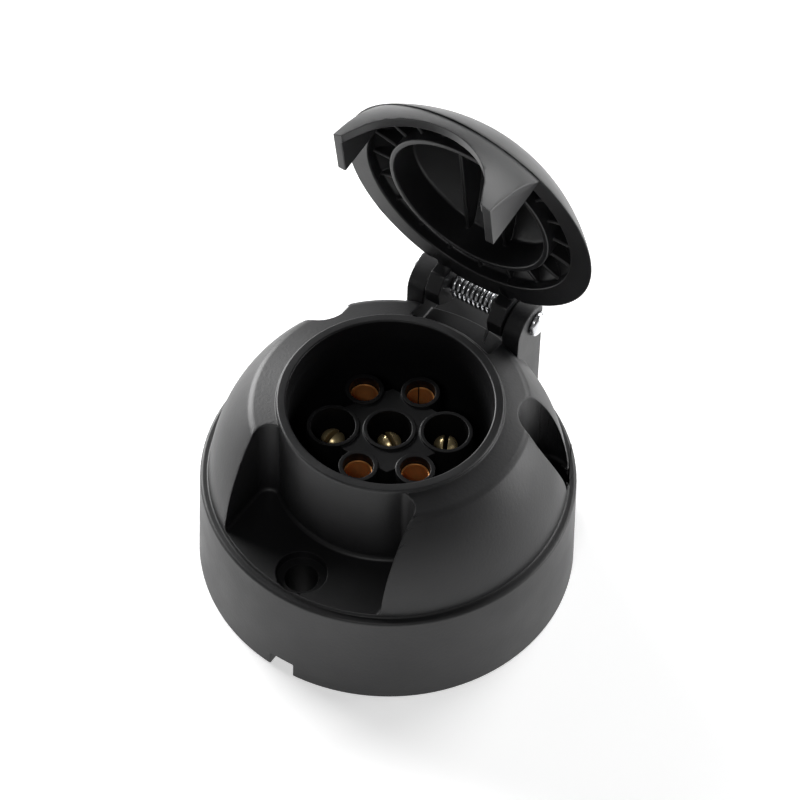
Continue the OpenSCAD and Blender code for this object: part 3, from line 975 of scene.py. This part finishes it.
class SocketSizes(bpy.types.PropertyGroup):
    """Sizes of the socket that can be changed."""
    rim_height: length_setting("Rim height", "Height of the mouth's rim", 48.4 * MM)
    edge_rounding: length_setting("Edge rounding", "Rounding of the moulded edges", 0.28 * MM)
    rib_count: bpy.props.IntProperty(
        name="Ribs", description="Number of ribs inside the lid", default=20)


class SocketFinishes(bpy.types.PropertyGroup):
    """Colours of the socket's finishes."""
    housing: colour_setting("Housing", "Moulded housing", (0.008, 0.008, 0.0088))
    lid: colour_setting("Lid", "Flip lid", (0.007, 0.007, 0.0078))
    insert: colour_setting("Insert", "Contact insert", (0.006, 0.006, 0.0066))
    brass: colour_setting("Brass", "Pin contacts and terminals", (0.98, 0.78, 0.42))
    copper: colour_setting("Copper", "Sleeve contacts", (0.95, 0.42, 0.13))
    steel: colour_setting("Steel", "Spring, rivet and screws", (0.78, 0.79, 0.81))


class SocketPiece(bpy.types.Operator):
    """Base of the operators that build one piece or one group of like pieces"""
    bl_idname = "socket.piece"
    bl_label = "Piece"

    def execute(self, context):
        self.build()
        return {"FINISHED"}


class SOCKET_OT_stage(SocketPiece):
    """Set up the floor, the lights and the camera"""
    bl_idname = "socket.stage"
    bl_label = "Stage"

    def build(self):
        build_stage()


class SOCKET_OT_housing(SocketPiece):
    """Build the moulded housing"""
    bl_idname = "socket.housing"
    bl_label = "Housing"

    def build(self):
        build_housing()


class SOCKET_OT_insert(SocketPiece):
    """Build the insert that holds the contacts"""
    bl_idname = "socket.insert"
    bl_label = "Contact insert"

    def build(self):
        build_insert()


class SOCKET_OT_contacts(SocketPiece):
    """Build the slotted pins and the rolled sleeves"""
    bl_idname = "socket.contacts"
    bl_label = "Contacts"

    def build(self):
        for i, (angle, turn) in enumerate(zip(PIN_ANGLES, SLOT_TURNS), 1):
            build_pin(i, angle, turn)
        for i, angle in enumerate(SLEEVE_ANGLES, 1):
            build_sleeve(i, angle)


class SOCKET_OT_lid(SocketPiece):
    """Build the flip lid"""
    bl_idname = "socket.lid"
    bl_label = "Flip lid"

    def build(self):
        build_lid()


class SOCKET_OT_hinge(SocketPiece):
    """Build the hinge rivet, its washer and the spring"""
    bl_idname = "socket.hinge"
    bl_label = "Hinge"

    def build(self):
        build_hinge_pin()
        build_washer()
        build_spring()


class SOCKET_OT_rear(SocketPiece):
    """Finish the terminals and the screws behind the insert"""
    bl_idname = "socket.rear"
    bl_label = "Terminals and screws"

    def build(self):
        for name, obj in frame["nodes"].items():
            if name.startswith(("clamp_screw", "insert_screw")):
                obj.data.materials[0] = steel()
            if name.startswith("sleeve_terminal"):
                obj.data.materials[0] = brass()


OPERATORS = (SOCKET_OT_stage, SOCKET_OT_housing, SOCKET_OT_insert, SOCKET_OT_contacts,
             SOCKET_OT_lid, SOCKET_OT_hinge, SOCKET_OT_rear)


class SOCKET_PT_panel(bpy.types.Panel):
    """Sizes, colours and the pieces to build"""
    bl_idname = "SOCKET_PT_panel"
    bl_label = "Trailer Socket"
    bl_space_type = "VIEW_3D"
    bl_region_type = "UI"
    bl_category = "Trailer Socket"

    def draw(self, context):
        for group in (context.scene.socket_sizes, context.scene.socket_finishes):
            for name in group.__annotations__:
                self.layout.prop(group, name)
        for operator in OPERATORS:
            self.layout.operator(operator.bl_idname)


CLASSES = (SocketSizes, SocketFinishes) + OPERATORS + (SOCKET_PT_panel,)


def register():
    for cls in CLASSES:
        bpy.utils.register_class(cls)
    bpy.types.Scene.socket_sizes = bpy.props.PointerProperty(type=SocketSizes)
    bpy.types.Scene.socket_finishes = bpy.props.PointerProperty(type=SocketFinishes)


def unregister():
    del bpy.types.Scene.socket_finishes
    del bpy.types.Scene.socket_sizes
    for cls in reversed(CLASSES):
        bpy.utils.unregister_class(cls)


def main():
    """Builds every piece."""
    register()
    bpy.ops.socket.stage()
    bpy.ops.socket.housing()
    bpy.ops.socket.insert()
    bpy.ops.socket.contacts()
    bpy.ops.socket.lid()
    bpy.ops.socket.hinge()
    bpy.ops.socket.rear()


if __name__ == "__main__":
    main()
